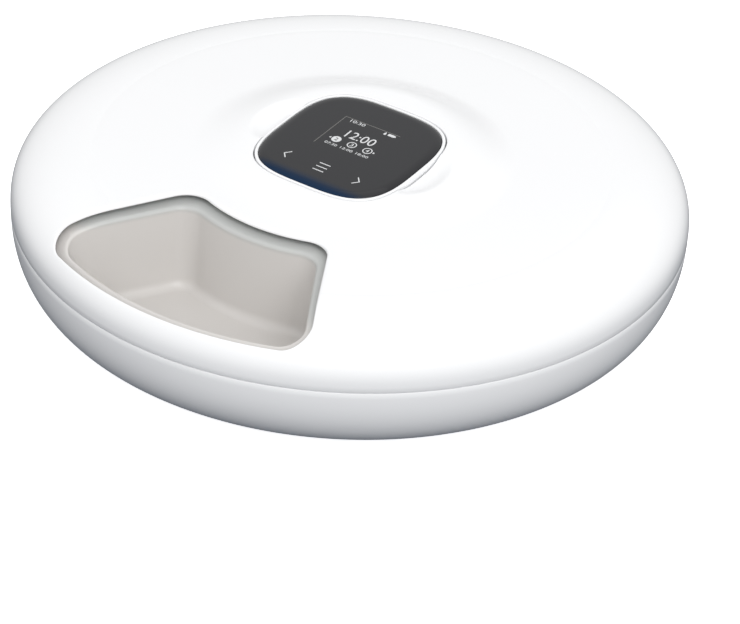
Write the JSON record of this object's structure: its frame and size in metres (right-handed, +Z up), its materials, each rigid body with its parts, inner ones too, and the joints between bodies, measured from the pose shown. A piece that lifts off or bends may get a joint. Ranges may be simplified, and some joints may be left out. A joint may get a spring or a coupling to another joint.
{
  "type": "smart pet feeder",
  "caption": "Round rotating pet feeder: a turning tray of meal bowls under a lift-off lid with one opening and a plug-in control module.",
  "frame": {"origin": "on the floor under the middle of the round body", "axes": "+Z up, -Y towards the front, where the lid opens over one bowl, +X to the right when the display is read"},
  "size_m": [0.33, 0.33, 0.0803],
  "materials": {
    "white_gloss": "moulded white ABS, satin to gloss",
    "bowl_grey": "moulded light grey, smooth",
    "dark_glass": "polished dark cover glass, opaque",
    "screen": "display module, smooth",
    "inner_grey": "plain moulded",
    "gear_white": "acetal, natural white",
    "rubber": "matte black",
    "steel": "zinc plated",
    "brass": "plated contact",
    "board_green": "circuit board with solder mask",
    "cell_grey": "plain sleeved cell"
  },
  "bodies": {
    "base": {"base_shell": "white_gloss", "foot_1": "rubber", "foot_2": "rubber", "foot_3": "rubber", "foot_4": "rubber", "battery_1": "cell_grey", "battery_2": "cell_grey", "battery_3": "cell_grey", "battery_4": "cell_grey", "battery_contact_front": "steel", "battery_contact_back": "steel", "door_hinge_pin": "steel", "motor_deck": "inner_grey", "gear_motor": "steel", "main_board": "board_green", "tower_cap": "white_gloss", "contact_block": "inner_grey", "contact_stud_1": "brass", "contact_stud_2": "brass", "contact_stud_3": "brass", "contact_stud_4": "brass", "deck_screw_1": "steel", "deck_screw_2": "steel", "deck_screw_3": "steel", "deck_screw_4": "steel", "cap_screw_1": "steel", "cap_screw_2": "steel", "cap_screw_3": "steel", "motor_screw_1": "steel", "motor_screw_2": "steel", "roller_axle_1": "steel", "roller_axle_2": "steel", "roller_axle_3": "steel", "roller_axle_4": "steel", "power_inlet": "inner_grey", "switch_body": "inner_grey", "position_sensor": "board_green"},
    "carousel": {"tray": "bowl_grey", "turntable": "gear_white", "index_magnet_1": "steel", "index_magnet_2": "steel", "index_magnet_3": "steel", "index_magnet_4": "steel", "index_magnet_5": "steel", "index_magnet_6": "steel"},
    "pinion": {"drive_pinion": "gear_white"},
    "roller_1": {"support_roller_1": "inner_grey"},
    "roller_2": {"support_roller_2": "inner_grey"},
    "roller_3": {"support_roller_3": "inner_grey"},
    "roller_4": {"support_roller_4": "inner_grey"},
    "lid": {"lid_shell": "white_gloss"},
    "module": {"module_housing": "white_gloss", "module_bezel": "white_gloss", "control_glass": "dark_glass", "display_panel": "screen", "touch_board": "board_green", "pad_board": "brass"},
    "door": {"battery_door": "white_gloss"},
    "switch": {"switch_knob": "rubber"}
  },
  "joints": [
    {"name": "carousel_turn", "type": "hinge", "parent": "base", "child": "carousel", "pos_m": [0, 0, 0.0215], "axis": [0, 0, 1], "continuous": true},
    {"name": "pinion_turn", "type": "hinge", "parent": "base", "child": "pinion", "pos_m": [0, 0.045, 0.0158], "axis": [0, 0, 1], "continuous": true},
    {"name": "roller_turn_1", "type": "hinge", "parent": "base", "child": "roller_1", "pos_m": [0.08754, 0.08754, 0.0108], "axis": [0.7071, 0.7071, 0], "continuous": true},
    {"name": "roller_turn_2", "type": "hinge", "parent": "base", "child": "roller_2", "pos_m": [-0.08754, 0.08754, 0.0108], "axis": [-0.7071, 0.7071, 0], "continuous": true},
    {"name": "roller_turn_3", "type": "hinge", "parent": "base", "child": "roller_3", "pos_m": [-0.08754, -0.08754, 0.0108], "axis": [-0.7071, -0.7071, 0], "continuous": true},
    {"name": "roller_turn_4", "type": "hinge", "parent": "base", "child": "roller_4", "pos_m": [0.08754, -0.08754, 0.0108], "axis": [0.7071, -0.7071, 0], "continuous": true},
    {"name": "lid_lift", "type": "slide", "parent": "base", "child": "lid", "axis": [0, 0, 1], "range_m": [0, 0.09]},
    {"name": "module_lift", "type": "slide", "parent": "lid", "child": "module", "axis": [0, -0.0685, 0.9976], "range_m": [0, 0.03]},
    {"name": "door_swing", "type": "hinge", "parent": "base", "child": "door", "pos_m": [0, -0.03905, 0.0046], "axis": [-1, 0, 0], "range_deg": [0, 95]},
    {"name": "switch_slide", "type": "slide", "parent": "base", "child": "switch", "axis": [1, 0, 0], "range_m": [0, 0.004]}
  ],
  "couplings": [
    {"joint": "pinion_turn", "follows": "carousel_turn", "ratio": 6},
    {"joint": "roller_turn_1", "follows": "carousel_turn", "ratio": -22.509},
    {"joint": "roller_turn_2", "follows": "carousel_turn", "ratio": -22.509},
    {"joint": "roller_turn_3", "follows": "carousel_turn", "ratio": -22.509},
    {"joint": "roller_turn_4", "follows": "carousel_turn", "ratio": -22.509}
  ]
}
